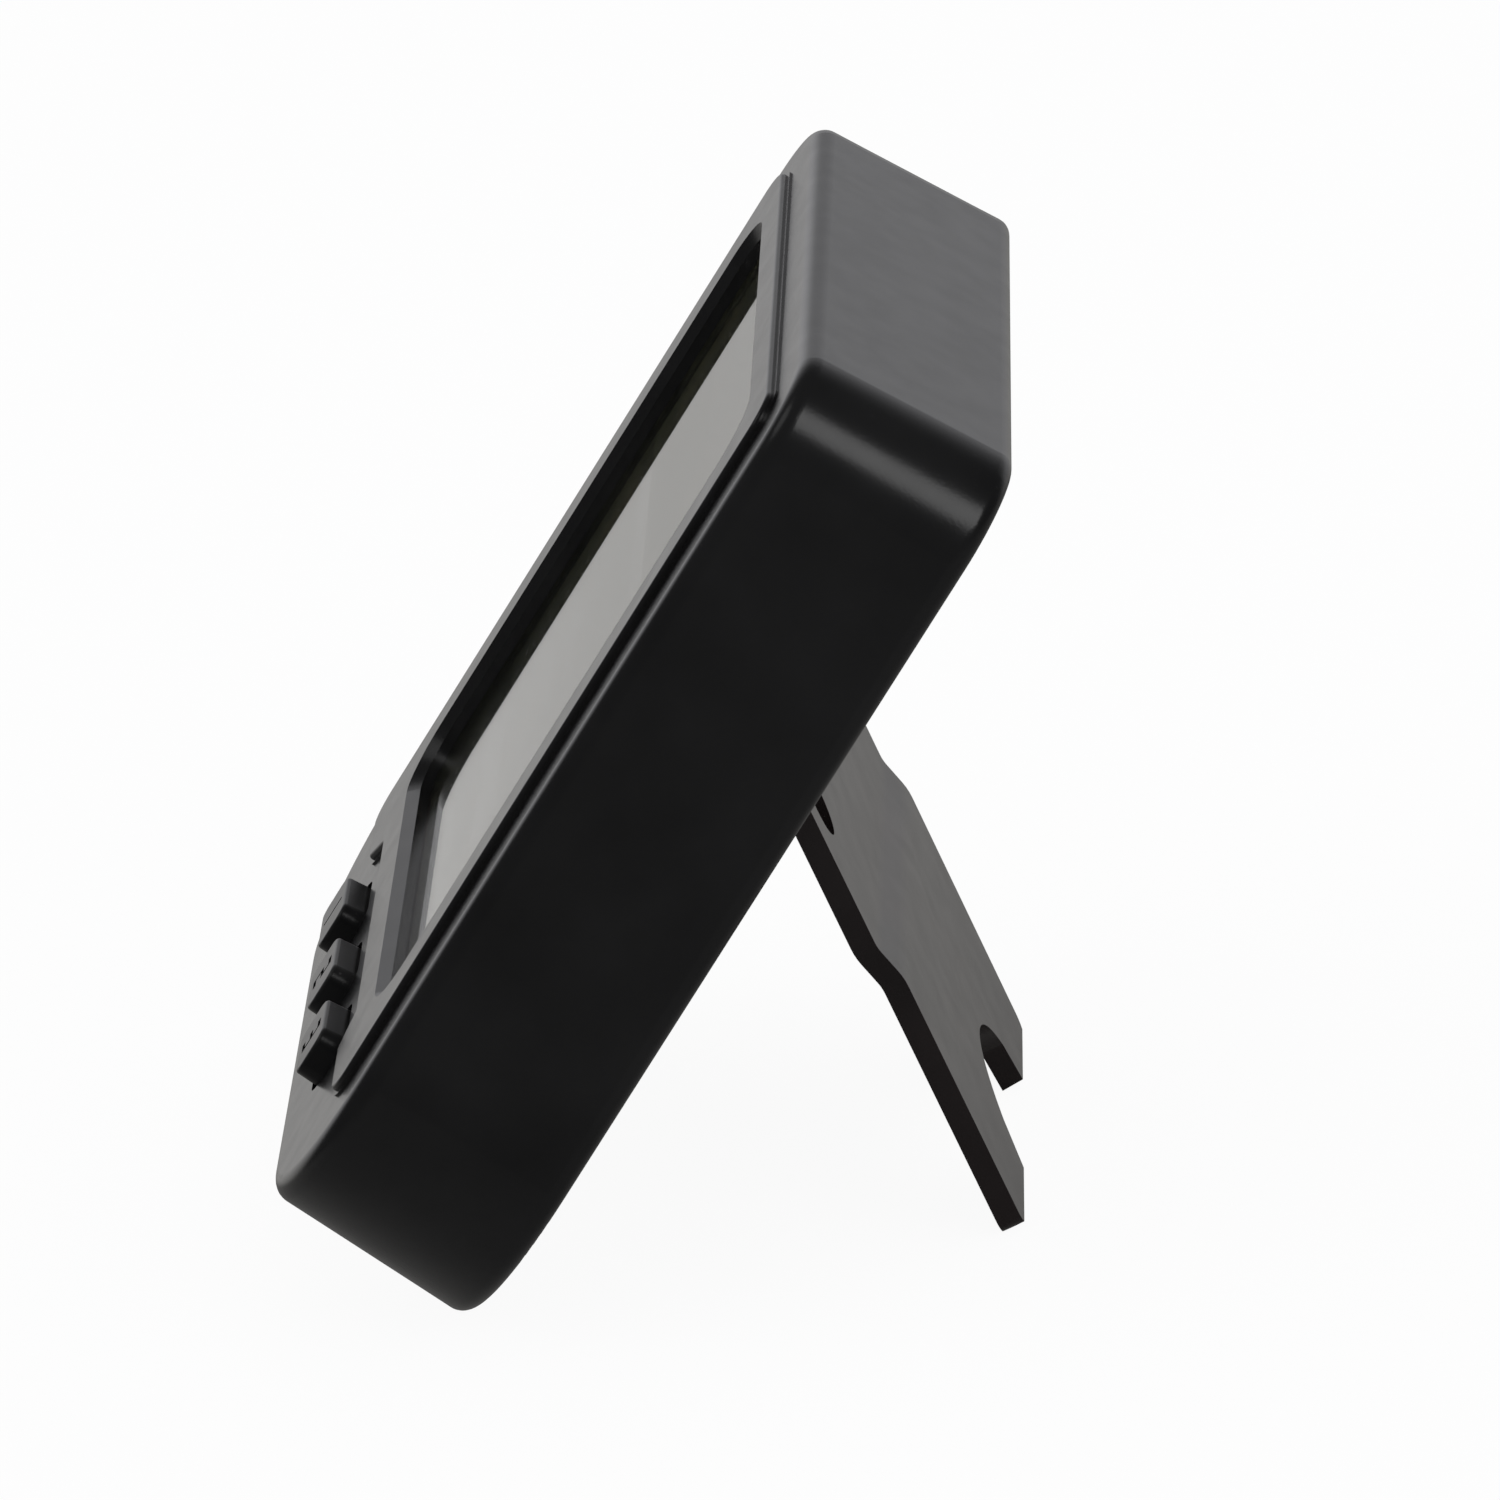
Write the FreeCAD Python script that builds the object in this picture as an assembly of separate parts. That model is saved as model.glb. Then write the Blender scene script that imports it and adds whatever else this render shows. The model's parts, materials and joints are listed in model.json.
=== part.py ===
import FreeCAD, Part
import math
import os
from FreeCAD import Vector

# A leaning desk geiger counter: an inset-back plastic case with a wide display, three rubber
# keys, a fold-out stand, a battery compartment, and the counter's electronics inside.
#
# Every piece is first modelled in the case's own frame, in millimetres: X to the right, Y from
# the front face (0) towards the back, Z up along the face from the lowest back edge (0). The
# last step leans the whole device back on its open stand and sets it on the floor.

# ---------------------------------------------------------------- case
side_draft = 1.0
top_corner_radius = 8.4
bottom_corner_radius = 17.7
front_edge_radius = 1.7
back_edge_radius = 1.5
side_wall = 2.4
front_wall = 1.8
rim_wall = 1.7
cover_thickness = 2.0
cover_gap = 0.15

# ---------------------------------------------------------------- raised display frame
plateau_height = 0.78
plateau_side_margin = 6.1
plateau_top_margin = 4.98
plateau_above_keys = 3.0
plateau_corner_radius = 3.0
plateau_edge_radius = 0.4
plateau_ledge_width = 0.4
plateau_ledge_height = 0.22
key_notch_depth = 2.7
key_notch_end = 1.65
key_notch_slant = 3.0
key_notch_radius = 0.8

# ---------------------------------------------------------------- window and display
window_width = 69.0
window_height = 60.84
window_side_margin = 5.35
window_bottom_margin = 3.88
window_top_margin = 3.1
window_bevel = 0.9
window_corner_radius = 4.6
lens_depth = 1.06
lens_thickness = 1.0
lens_overlap = 2.0
film_thickness = 0.2
film_inset = 1.0
film_corner_radius = 0.5
glass_thickness = 0.7
glass_overlap = 2.8
glass_ledge = 2.6
frame_wall = 1.85
frame_ledge = 2.1
frame_back = 1.3
frame_corner_radius = 1.0
strip_width = 2.0
display_gap = 0.15

# ---------------------------------------------------------------- keys
key_count = 3
key_pitch = 17.5
key_height_on_case = 10.2
key_width = 10.4
key_length = 5.25
key_taper = 0.3
key_corner_radius = 1.6
key_stand_out = 2.05
key_edge_radius = 0.35
key_gap = 0.4
key_flange = 0.85
key_flange_thickness = 1.0
key_travel = 0.9
pill_radius = 1.6
pill_board_gap = 0.2
mat_thickness = 1.5
mat_border = 1.5
numeral_height = 3.1
numeral_width = 2.0
numeral_stroke = 0.5
numeral_depth = 0.35

# ---------------------------------------------------------------- circuit board and its parts
board_thickness = 1.0
board_clearance = 0.45
board_boss_gap = 0.3
board_hole_gap = 0.2
board_post_radius = 2.2
board_post_gap = 0.4
board_post_wall_gap = 1.35
left_post_heights = (22.3, 69.8)
lower_screw_clip_gap = 3.65
upper_screw_clip_gap = 0.25
board_screw_radius = 0.8
board_screw_head_radius = 1.8
board_screw_head_height = 1.1
board_screw_length = 4.0

chip_width = 10.0
chip_thickness = 1.4
chip_lift = 0.15
chip_place = (-8.0, 35.3)
chip_leg_count = 8
chip_leg_length = 1.0
chip_leg_width = 0.4
chip_leg_thickness = 0.45
crystal_length = 10.0
crystal_width = 3.6
crystal_thickness = 3.2
crystal_corner_radius = 1.7
crystal_edge_radius = 0.3
crystal_place = (9.0, 35.3)
resistor_length = 2.0
resistor_width = 1.25
resistor_thickness = 0.6
resistor_columns = 6
resistor_rows = 2
resistor_spacing = 5.0
resistor_place = (0.0, 19.3)

left_column_base = 26.9
left_column_gap = 2.1
film_capacitor_width = 7.2
film_capacitor_thickness = 2.5
film_capacitor_length = 6.0
film_capacitor_pitch = 4.0
bulk_capacitor_radius = 3.15
bulk_capacitor_length = 8.0
bulk_capacitor_edge_radius = 0.5
bulk_capacitor_groove = 0.25
bulk_capacitor_groove_height = 1.2
transformer_size = 10.0
transformer_thickness = 7.0
transformer_leg = 2.4
transformer_yoke = 1.45
winding_gap = 0.05
buzzer_radius = 6.0
buzzer_thickness = 6.5
buzzer_wall = 0.8
buzzer_seat_width = 1.0
buzzer_port_radius = 1.2
buzzer_disc_thickness = 0.3
buzzer_disc_gap = 0.1

# ---------------------------------------------------------------- counter tube
tube_radius = 5.0
tube_wall = 0.25
tube_body_length = 53.0
tube_plug_length = 2.0
tube_cap_radius = 3.0
tube_cap_length = 6.0
tube_cap_edge_radius = 0.6
tube_end_gap = 1.7
tube_side_gap = 2.25
tube_pocket_gap = 1.3
tube_board_gap = 1.2
tube_cover_gap = 0.4
anode_radius = 0.2
clip_thickness = 0.4
clip_width = 4.0
clip_arm_rise = 1.5

# ---------------------------------------------------------------- case screws
upper_screw_side_offset = 6.95
upper_screw_end_offset = 6.9
lower_screw_side_offset = 14.45
lower_screw_end_offset = 5.9
screw_boss_radius = 2.9
screw_shank_radius = 1.05
screw_head_radius = 2.2
screw_head_height = 1.6
screw_head_sink = 3.2
screw_length = 9.0
screw_sleeve = 5.0
screw_pilot_gap = 0.05
screw_hole_gap = 0.2
screw_head_gap = 0.15
cross_slot_width = 0.6
cross_slot_length = 2.6
cross_slot_depth = 0.8

# ---------------------------------------------------------------- stand
stand_open_angle = 56.2
stand_bottom_margin = 7.3
hinge_radius = 1.3
hinge_running_gap = 0.05
stub_length = 1.6
stub_end_gap = 0.3
stand_sink = 0.05
stand_face_offset = 2.0
stand_thickness = 2.08
stand_joggle = 0.95
joggle_start = 18.2
joggle_length = 3.4
joggle_bend_radius = 4.0
stand_length = 45.8
stand_foot_rake = 0.27
stand_hinge_width = 55.2
stand_foot_width = 53.8
stand_foot_corner = 1.7
arm_slot_length = 9.4
arm_slot_width = 6.4
arm_width = 3.9
foot_notch_depth = 9.1
foot_notch_mouth = 25.2
foot_notch_shoulder = 20.4
foot_notch_side = 4.4
foot_notch_fillet = 1.5
pocket_side_gap = 0.4
pocket_foot_gap = 0.7
pocket_floor_depth = 4.1
pocket_wall = 1.3
pocket_head_room = 2.2
stop_lip_thickness = 0.65
stop_gap = 0.12
hinge_boss_radius = 2.6
hinge_boss_length = 1.7

# ---------------------------------------------------------------- batteries and their bay
cell_radius = 5.25
cell_length = 44.5
cell_edge_radius = 0.4
cell_nipple_length = 0.9
cell_nipple_radius = 1.9
cell_spacing = 11.0
cell_side_gap = 0.25
cell_floor_gap = 0.15
cell_door_gap = 0.15
bay_wall = 1.5
bay_floor = 0.8
bay_board_gap = 0.3
bay_pocket_gap = 2.5
bay_top_margin = 4.63
contact_thickness = 0.4
contact_width = 8.6
contact_height = 9.0
contact_tail_width = 1.6
contact_tail_gap = 0.2
bridge_height = 3.0
spring_length = 4.7
spring_radius = 3.2
spring_wire = 0.35
spring_turns = 3

# ---------------------------------------------------------------- battery door
door_thickness = 1.7
door_gap = 0.3
door_ledge = 0.9
door_corner_radius = 1.5
tab_offset = 15.0
tab_width = 5.0
tab_thickness = 1.0
tab_reach = 1.8
tab_neck = 1.15
tab_neck_inset = 0.75
tab_room = 0.9
latch_slit_offset = 6.0
latch_slit_width = 0.8
latch_slit_length = 6.0
grip_groove_count = 3
grip_groove_width = 8.0
grip_groove_height = 0.8
grip_groove_pitch = 1.6
grip_groove_depth = 0.5

# ---------------------------------------------------------------- buzzer slots in the back
sound_slot_count = 3
sound_slot_length = 8.0
sound_slot_width = 1.0
sound_slot_radius = 0.4
sound_slot_pitch = 2.6

# ---------------------------------------------------------------- places worked out from these
cut_over = 1.0
tiny = 1e-4

# depth, front to back
lens_back = lens_depth + lens_thickness
front_glass_y = lens_back + film_thickness
rear_glass_y = front_glass_y + glass_thickness
reflector_y = rear_glass_y + glass_thickness
display_back = reflector_y + film_thickness
board_front = display_back + frame_back
board_back = board_front + board_thickness
bay_under = board_back + bay_board_gap
bay_floor_y = bay_under + bay_floor
cell_y = bay_floor_y + cell_floor_gap + cell_radius
tube_y = board_back + tube_board_gap + tube_radius
body_depth = max(cell_y + cell_radius + cell_door_gap + door_thickness,
                 tube_y + tube_radius + tube_cover_gap + cover_thickness)
cover_seat = body_depth - cover_thickness
door_front = body_depth - door_thickness
pocket_floor = body_depth - pocket_floor_depth
boss_top = body_depth - screw_sleeve
screw_head_seat = body_depth - screw_head_sink
mat_front = board_front - mat_thickness
flange_front = front_wall + key_gap
flange_back = flange_front + key_flange_thickness
pill_back = board_front - pill_board_gap - key_travel

# height, bottom to top
hinge_height = stand_bottom_margin + pocket_foot_gap + stand_foot_rake + stand_length
pocket_bottom = stand_bottom_margin
pocket_top = hinge_height + pocket_head_room
bay_bottom = pocket_top + pocket_wall + bay_pocket_gap + bay_wall
bay_top = bay_bottom + cell_spacing + 2 * (cell_radius + cell_side_gap)
bay_middle = (bay_bottom + bay_top) / 2
plateau_bottom = key_height_on_case + plateau_above_keys
window_bottom = plateau_bottom + key_notch_depth + window_bottom_margin
window_top = window_bottom + window_height
plateau_top = window_top + window_top_margin
tube_length = tube_body_length + 2 * tube_cap_length
body_height = max(plateau_top + plateau_top_margin + side_draft,
                  bay_top + bay_wall + bay_top_margin,
                  tube_length + lower_screw_end_offset + upper_screw_end_offset
                  + 2 * (screw_boss_radius + tube_end_gap))
tube_middle = (body_height + lower_screw_end_offset - upper_screw_end_offset) / 2
clip_reach = tube_length / 2 - tube_cap_length / 2
screw_inset = clip_width / 2 + board_screw_head_radius
right_post_heights = (tube_middle - clip_reach + screw_inset + lower_screw_clip_gap,
                      tube_middle + clip_reach - screw_inset - upper_screw_clip_gap)

# width, middle to sides
sight_width = window_width - 2 * window_bevel
sight_bottom = window_bottom + window_bevel
sight_top = window_top - window_bevel
glass_width = sight_width + 2 * glass_overlap
glass_bottom = sight_bottom - glass_ledge - display_gap
glass_top = sight_top + glass_overlap
frame_half = glass_width / 2 + display_gap + frame_wall
board_post_x = frame_half + board_post_gap + board_post_radius
plateau_half = window_width / 2 + window_side_margin
stand_half = stand_hinge_width / 2
pocket_half = stand_half + pocket_side_gap
column_x = pocket_half + pocket_wall + hinge_boss_length + tube_pocket_gap + tube_radius
inner_half = max(plateau_half + plateau_side_margin + side_draft - side_wall,
                 board_post_x + board_post_radius + board_post_wall_gap,
                 column_x + tube_radius + tube_side_gap)
body_width = 2 * (inner_half + side_wall)
screw_spots = ((body_width / 2 - lower_screw_side_offset, lower_screw_end_offset),
               (body_width / 2 - upper_screw_side_offset, body_height - upper_screw_end_offset))
bay_half = cell_length / 2 + spring_length / 2 + contact_thickness
door_half = bay_half + door_ledge - door_gap
door_bottom = bay_bottom - door_ledge + door_gap
door_top = bay_top + door_ledge - door_gap

# the stand's hinge, and the lip of the back that stops it open
hinge_y = body_depth - stand_sink - stand_face_offset
lip_inner_y = body_depth - stop_lip_thickness
open_cos = math.cos(math.radians(stand_open_angle))
open_sin = math.sin(math.radians(stand_open_angle))
hinge_face_offset = stand_face_offset - stand_joggle
lip_edge = hinge_height + (hinge_face_offset + stop_gap - (lip_inner_y - hinge_y) * open_cos) / open_sin

# the board's left column, bottom to top
film_capacitor_z = left_column_base + (film_capacitor_pitch + film_capacitor_thickness) / 2
bulk_capacitor_z = (film_capacitor_z + (film_capacitor_pitch + film_capacitor_thickness) / 2
                    + left_column_gap + bulk_capacitor_radius)
transformer_z = bulk_capacitor_z + bulk_capacitor_radius + left_column_gap + transformer_size / 2
buzzer_z = transformer_z + transformer_size / 2 + left_column_gap + buzzer_radius


# ================================================================ shape helpers
def box(x0, x1, y0, y1, z0, z1):
    return Part.makeBox(x1 - x0, y1 - y0, z1 - z0, Vector(x0, y0, z0))


def rod_y(x, z, radius, y0, y1):
    return Part.makeCylinder(radius, y1 - y0, Vector(x, y0, z), Vector(0, 1, 0))


def rod_x(y, z, radius, x0, x1):
    return Part.makeCylinder(radius, x1 - x0, Vector(x0, y, z), Vector(1, 0, 0))


def rod_z(x, y, radius, z0, z1):
    return Part.makeCylinder(radius, z1 - z0, Vector(x, y, z0), Vector(0, 0, 1))


def rounded_wire(points, radii, place):
    """A closed wire through flat points, each corner rounded by its radius; place maps to 3-D."""
    count = len(points)
    entries = []
    for i in range(count):
        here = Vector(points[i][0], points[i][1], 0)
        before = Vector(points[i - 1][0], points[i - 1][1], 0) - here
        after = Vector(points[(i + 1) % count][0], points[(i + 1) % count][1], 0) - here
        before.normalize()
        after.normalize()
        half_turn = before.getAngle(after) / 2
        setback = radii[i] / math.tan(half_turn)
        bisector = before + after
        bisector.normalize()
        centre = here + bisector * (radii[i] / math.sin(half_turn))
        start = here + before * setback
        end = here + after * setback
        middle = centre - bisector * radii[i]
        entries.append((place(start.x, start.y), place(middle.x, middle.y), place(end.x, end.y)))
    edges = []
    for i in range(count):
        start, middle, end = entries[i]
        if (end - start).Length > tiny:
            edges.append(Part.Arc(start, middle, end).toShape())
        following = entries[(i + 1) % count][0]
        if (following - end).Length > tiny:
            edges.append(Part.makeLine(end, following))
    return Part.Wire(Part.__sortEdges__(edges))


def rect_wire(x0, x1, z0, z1, radius, y):
    points = [(x0, z0), (x1, z0), (x1, z1), (x0, z1)]
    return rounded_wire(points, [radius] * 4, lambda u, v: Vector(u, y, v))


def slab(x0, x1, z0, z1, radius, y0, y1):
    face = Part.Face(rect_wire(x0, x1, z0, z1, radius, y0))
    return face.extrude(Vector(0, y1 - y0, 0))


def body_outline(y, inset):
    narrowing = side_draft * (1 - y / body_depth) + inset
    half = body_width / 2 - narrowing
    top = body_height - narrowing
    low_radius = bottom_corner_radius - narrowing
    high_radius = top_corner_radius - narrowing
    points = [(-half, narrowing), (half, narrowing), (half, top), (-half, top)]
    radii = [low_radius, low_radius, high_radius, high_radius]
    return rounded_wire(points, radii, lambda u, v: Vector(u, y, v))


def body_block(inset, y0, y1):
    """A slice of the case's drafted outline, set in from its outside by inset."""
    return Part.makeLoft([body_outline(y0, inset), body_outline(y1, inset)], True, True)


def edges_at(shape, y):
    return [e for e in shape.Edges if abs(e.BoundBox.YMin - y) < tiny and abs(e.BoundBox.YMax - y) < tiny]


def screw(x, z, seat_y, head_radius, head_height, shank_radius, length):
    """A cross-recessed screw whose head sits on seat_y and whose shank points to the front."""
    head = rod_y(x, z, head_radius, seat_y, seat_y + head_height)
    head = head.makeFillet(head_height * 0.3, edges_at(head, seat_y + head_height))
    shank = rod_y(x, z, shank_radius, seat_y - length, seat_y)
    half_long = min(cross_slot_length, head_radius * 1.3) / 2
    half_wide = cross_slot_width / 2
    bottom = seat_y + head_height - min(cross_slot_depth, head_height * 0.5)
    top = seat_y + head_height + cut_over
    upright = box(x - half_wide, x + half_wide, bottom, top, z - half_long, z + half_long)
    level = box(x - half_long, x + half_long, bottom, top, z - half_wide, z + half_wide)
    return head.fuse(shank).cut(upright).cut(level)


def case_screw_places():
    return [(side * x, z) for side in (-1, 1) for x, z in screw_spots]


def board_post_places():
    left = [(-board_post_x, z) for z in left_post_heights]
    right = [(board_post_x, z) for z in right_post_heights]
    return left + right


def key_places():
    first = -(key_count - 1) / 2 * key_pitch
    return [first + i * key_pitch for i in range(key_count)]


# ================================================================ case pieces
def plateau_slab(grow, height):
    """The display frame's outline, grown by grow, as a slab that stands height off the front."""
    half = plateau_half + grow
    low = plateau_bottom - grow
    high = plateau_top + grow
    notch_top = low + key_notch_depth
    slant_length = math.hypot(key_notch_slant, key_notch_depth)
    lead = grow * (slant_length - key_notch_slant) / key_notch_depth
    notch = key_places()[-1] + key_width / 2 + key_notch_end - lead
    points = [(-half, low), (-notch - key_notch_slant, low), (-notch, notch_top),
              (notch, notch_top), (notch + key_notch_slant, low), (half, low), (half, high), (-half, high)]
    outer = plateau_corner_radius + grow
    mouth = key_notch_radius + grow
    inner = key_notch_radius - grow
    radii = [outer, mouth, inner, inner, mouth, outer, outer, outer]
    wire = rounded_wire(points, radii, lambda u, v: Vector(u, -height, v))
    return Part.Face(wire).extrude(Vector(0, height + front_wall / 2, 0))


def plateau():
    block = plateau_slab(0, plateau_height)
    block = block.makeFillet(plateau_edge_radius, edges_at(block, -plateau_height))
    return block.fuse(plateau_slab(plateau_ledge_width, plateau_ledge_height))


def window_cut():
    half = window_width / 2
    sight = sight_width / 2
    outer_radius = window_corner_radius + window_bevel
    rim_y = -plateau_height
    bevel_y = rim_y + window_bevel
    above = rect_wire(-half - cut_over, half + cut_over, window_bottom - cut_over, window_top + cut_over,
                      outer_radius + cut_over, rim_y - cut_over)
    below = rect_wire(-sight, sight, sight_bottom, sight_top, window_corner_radius, bevel_y)
    bevel = Part.makeLoft([above, below], True, True)
    hole = slab(-sight, sight, sight_bottom, sight_top, window_corner_radius, bevel_y,
                front_wall + cut_over)
    return bevel.fuse(hole)


def lens_outline(gap, y0, y1):
    half = sight_width / 2 + lens_overlap + gap
    low = sight_bottom - lens_overlap - gap
    high = sight_top + lens_overlap + gap
    return slab(-half, half, low, high, window_corner_radius + lens_overlap, y0, y1)


def key_block(grow, x, y0, y1):
    half = key_width / 2 + grow
    tall = key_length / 2 + grow
    z = key_height_on_case
    return slab(x - half, x + half, z - tall, z + tall, key_corner_radius + grow, y0, y1)


def front_housing():
    shell = body_block(0, 0, body_depth)
    shell = shell.makeFillet(front_edge_radius, edges_at(shell, 0))
    shell = shell.makeFillet(back_edge_radius, edges_at(shell, body_depth))
    solid_case = shell.fuse(plateau())
    shell = solid_case.cut(body_block(side_wall, front_wall, cover_seat))
    shell = shell.cut(body_block(rim_wall, cover_seat, body_depth + cut_over))
    inside = body_block(side_wall / 2, front_wall / 2, cover_seat)
    for x, z in case_screw_places():
        shell = shell.fuse(rod_y(x, z, screw_boss_radius, front_wall / 2, boss_top).common(inside))
    for x, z in board_post_places():
        shell = shell.fuse(rod_y(x, z, board_post_radius, front_wall / 2, board_front).common(inside))
    for x, z in case_screw_places():
        pilot = screw_head_seat - screw_length - screw_pilot_gap
        shell = shell.cut(rod_y(x, z, screw_shank_radius + screw_pilot_gap, pilot, boss_top + cut_over))
    for x, z in board_post_places():
        pilot = board_back - board_screw_length - screw_pilot_gap
        shell = shell.cut(rod_y(x, z, board_screw_radius + screw_pilot_gap, pilot, board_front + cut_over))
    shell = shell.cut(window_cut())
    shell = shell.cut(lens_outline(display_gap, lens_depth, front_wall + cut_over))
    for x in key_places():
        shell = shell.cut(key_block(key_gap, x, -plateau_height - cut_over, front_wall + cut_over))
    return shell


def pocket_opening(y0, y1, top):
    return box(-pocket_half, pocket_half, y0, y1, pocket_bottom, top)


def rear_cover():
    cover = body_block(rim_wall + cover_gap, cover_seat, body_depth)
    wall = pocket_wall
    cover = cover.fuse(box(-pocket_half - wall, pocket_half + wall, pocket_floor - wall, cover_seat,
                           pocket_bottom - wall, pocket_top + wall))
    cover = cover.fuse(box(-bay_half - bay_wall, bay_half + bay_wall, bay_under, cover_seat,
                           bay_bottom - bay_wall, bay_top + bay_wall))
    for side in (-1, 1):
        start = side * pocket_half
        end = side * (pocket_half + wall + hinge_boss_length)
        boss = rod_x(hinge_y, hinge_height, hinge_boss_radius, min(start, end), max(start, end))
        cover = cover.fuse(boss.common(box(-body_width, body_width, 0, cover_seat, 0, body_height)))
    for x, z in case_screw_places():
        sleeve = rod_y(x, z, screw_boss_radius, boss_top, cover_seat)
        cover = cover.fuse(sleeve.common(body_block(side_wall + cover_gap, boss_top, cover_seat)))
    cover = cover.cut(pocket_opening(pocket_floor, lip_inner_y, pocket_top))
    cover = cover.cut(pocket_opening(pocket_floor, body_depth + cut_over, lip_edge))
    stub_end = stand_half + stub_length + stub_end_gap
    cover = cover.cut(rod_x(hinge_y, hinge_height, hinge_radius + hinge_running_gap, -stub_end, stub_end))
    cover = cover.cut(box(-bay_half, bay_half, bay_floor_y, body_depth + cut_over, bay_bottom, bay_top))
    opening = bay_half + door_ledge
    cover = cover.cut(slab(-opening, opening, bay_bottom - door_ledge, bay_top + door_ledge,
                           door_corner_radius + door_gap, cover_seat, body_depth + cut_over))
    for side in (-1, 1):
        half = tab_width / 2 + door_gap
        floor = cover_seat - door_gap - tab_thickness - tab_room
        cover = cover.cut(box(side * tab_offset - half, side * tab_offset + half, floor, cover_seat,
                              bay_bottom - bay_wall - cut_over, bay_bottom))
    for side in (-1, 1):
        half = contact_tail_width / 2 + contact_tail_gap
        z = bay_middle + side * cell_spacing / 2
        cover = cover.cut(box(bay_half - contact_thickness - contact_tail_gap, bay_half,
                              bay_under - cut_over, bay_floor_y, z - half, z + half))
    for x, z in case_screw_places():
        hole_radius = screw_shank_radius + screw_hole_gap
        sink_radius = screw_head_radius + screw_head_gap
        cover = cover.cut(rod_y(x, z, hole_radius, boss_top - cut_over, screw_head_seat))
        cover = cover.cut(rod_y(x, z, sink_radius, screw_head_seat, body_depth + cut_over))
    for i in range(sound_slot_count):
        z = buzzer_z + (i - (sound_slot_count - 1) / 2) * sound_slot_pitch
        half = sound_slot_length / 2
        cover = cover.cut(slab(-column_x - half, -column_x + half, z - sound_slot_width / 2,
                               z + sound_slot_width / 2, sound_slot_radius,
                               cover_seat - cut_over, body_depth + cut_over))
    return cover


# ================================================================ moving pieces
def stand_profile(half_width):
    """The stand's side view, folded down: it hangs from the hinge, its rear face to +Y."""
    rear = hinge_y + stand_face_offset
    front = rear - stand_thickness
    upper_rear = rear - stand_joggle
    upper_front = front - stand_joggle
    bend = hinge_height - joggle_start
    straight = bend - joggle_length
    foot = hinge_height - stand_length
    places = [(upper_rear, hinge_height), (upper_rear, bend), (rear, straight), (rear, foot),
              (front, foot - stand_foot_rake), (front, straight), (upper_front, bend),
              (upper_front, hinge_height)]
    inner, outer = joggle_bend_radius, joggle_bend_radius + stand_thickness
    wire = rounded_wire(places, [0, inner, outer, 0, 0, inner, outer, 0],
                        lambda u, v: Vector(-half_width, u, v))
    return Part.Face(wire).extrude(Vector(2 * half_width, 0, 0))


def stand_plan():
    """The stand seen square on from the back: tapered sides, round foot corners and its notch."""
    y = hinge_y - hinge_boss_radius
    tip = hinge_height - stand_length - stand_foot_rake
    half_top = stand_half
    half_foot = stand_foot_width / 2
    top = hinge_height + hinge_radius + cut_over
    corner = stand_foot_corner
    wire = rounded_wire([(-half_foot, tip), (half_foot, tip), (half_top, top), (-half_top, top)],
                        [corner, corner, 0, 0], lambda u, v: Vector(u, y, v))
    plan = Part.Face(wire).extrude(Vector(0, body_depth, 0))
    mouth = foot_notch_mouth / 2
    shoulder = foot_notch_shoulder / 2
    shoulder_z = tip + foot_notch_side
    apex = tip + foot_notch_depth + stand_foot_rake
    below = tip - cut_over
    edges = [Part.makeLine(Vector(-mouth, y, below), Vector(mouth, y, below)),
             Part.makeLine(Vector(mouth, y, below), Vector(shoulder, y, shoulder_z)),
             Part.Arc(Vector(shoulder, y, shoulder_z), Vector(0, y, apex),
                      Vector(-shoulder, y, shoulder_z)).toShape(),
             Part.makeLine(Vector(-shoulder, y, shoulder_z), Vector(-mouth, y, below))]
    notch = Part.Face(Part.Wire(edges)).extrude(Vector(0, body_depth, 0))
    shoulders = [e for e in notch.Edges if abs(e.BoundBox.ZMin - shoulder_z) < tiny
                 and abs(e.BoundBox.ZMax - shoulder_z) < tiny]
    notch = notch.makeFillet(foot_notch_fillet, shoulders)
    return plan.cut(notch)


def folded_stand():
    leg = stand_profile(stand_half)
    leg = leg.fuse(rod_x(hinge_y, hinge_height, hinge_radius, -stand_half, stand_half))
    leg = leg.common(stand_plan())
    for side in (-1, 1):
        outer = side * (stand_half - arm_width)
        inner = side * (stand_half - arm_width - arm_slot_width)
        radius = arm_slot_width / 2
        round_z = hinge_height - arm_slot_length + radius
        low, high = min(outer, inner), max(outer, inner)
        leg = leg.cut(box(low, high, 0, body_depth, round_z, hinge_height + 2 * hinge_radius))
        leg = leg.cut(rod_y((low + high) / 2, round_z, radius, 0, body_depth))
    for side in (-1, 1):
        start = side * (stand_half - arm_width / 2)
        end = side * (stand_half + stub_length)
        leg = leg.fuse(rod_x(hinge_y, hinge_height, hinge_radius, min(start, end), max(start, end)))
    return leg.removeSplitter()


def stand_leg():
    leg = folded_stand()
    leg.rotate(Vector(0, hinge_y, hinge_height), Vector(1, 0, 0), stand_open_angle)
    return leg


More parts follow.
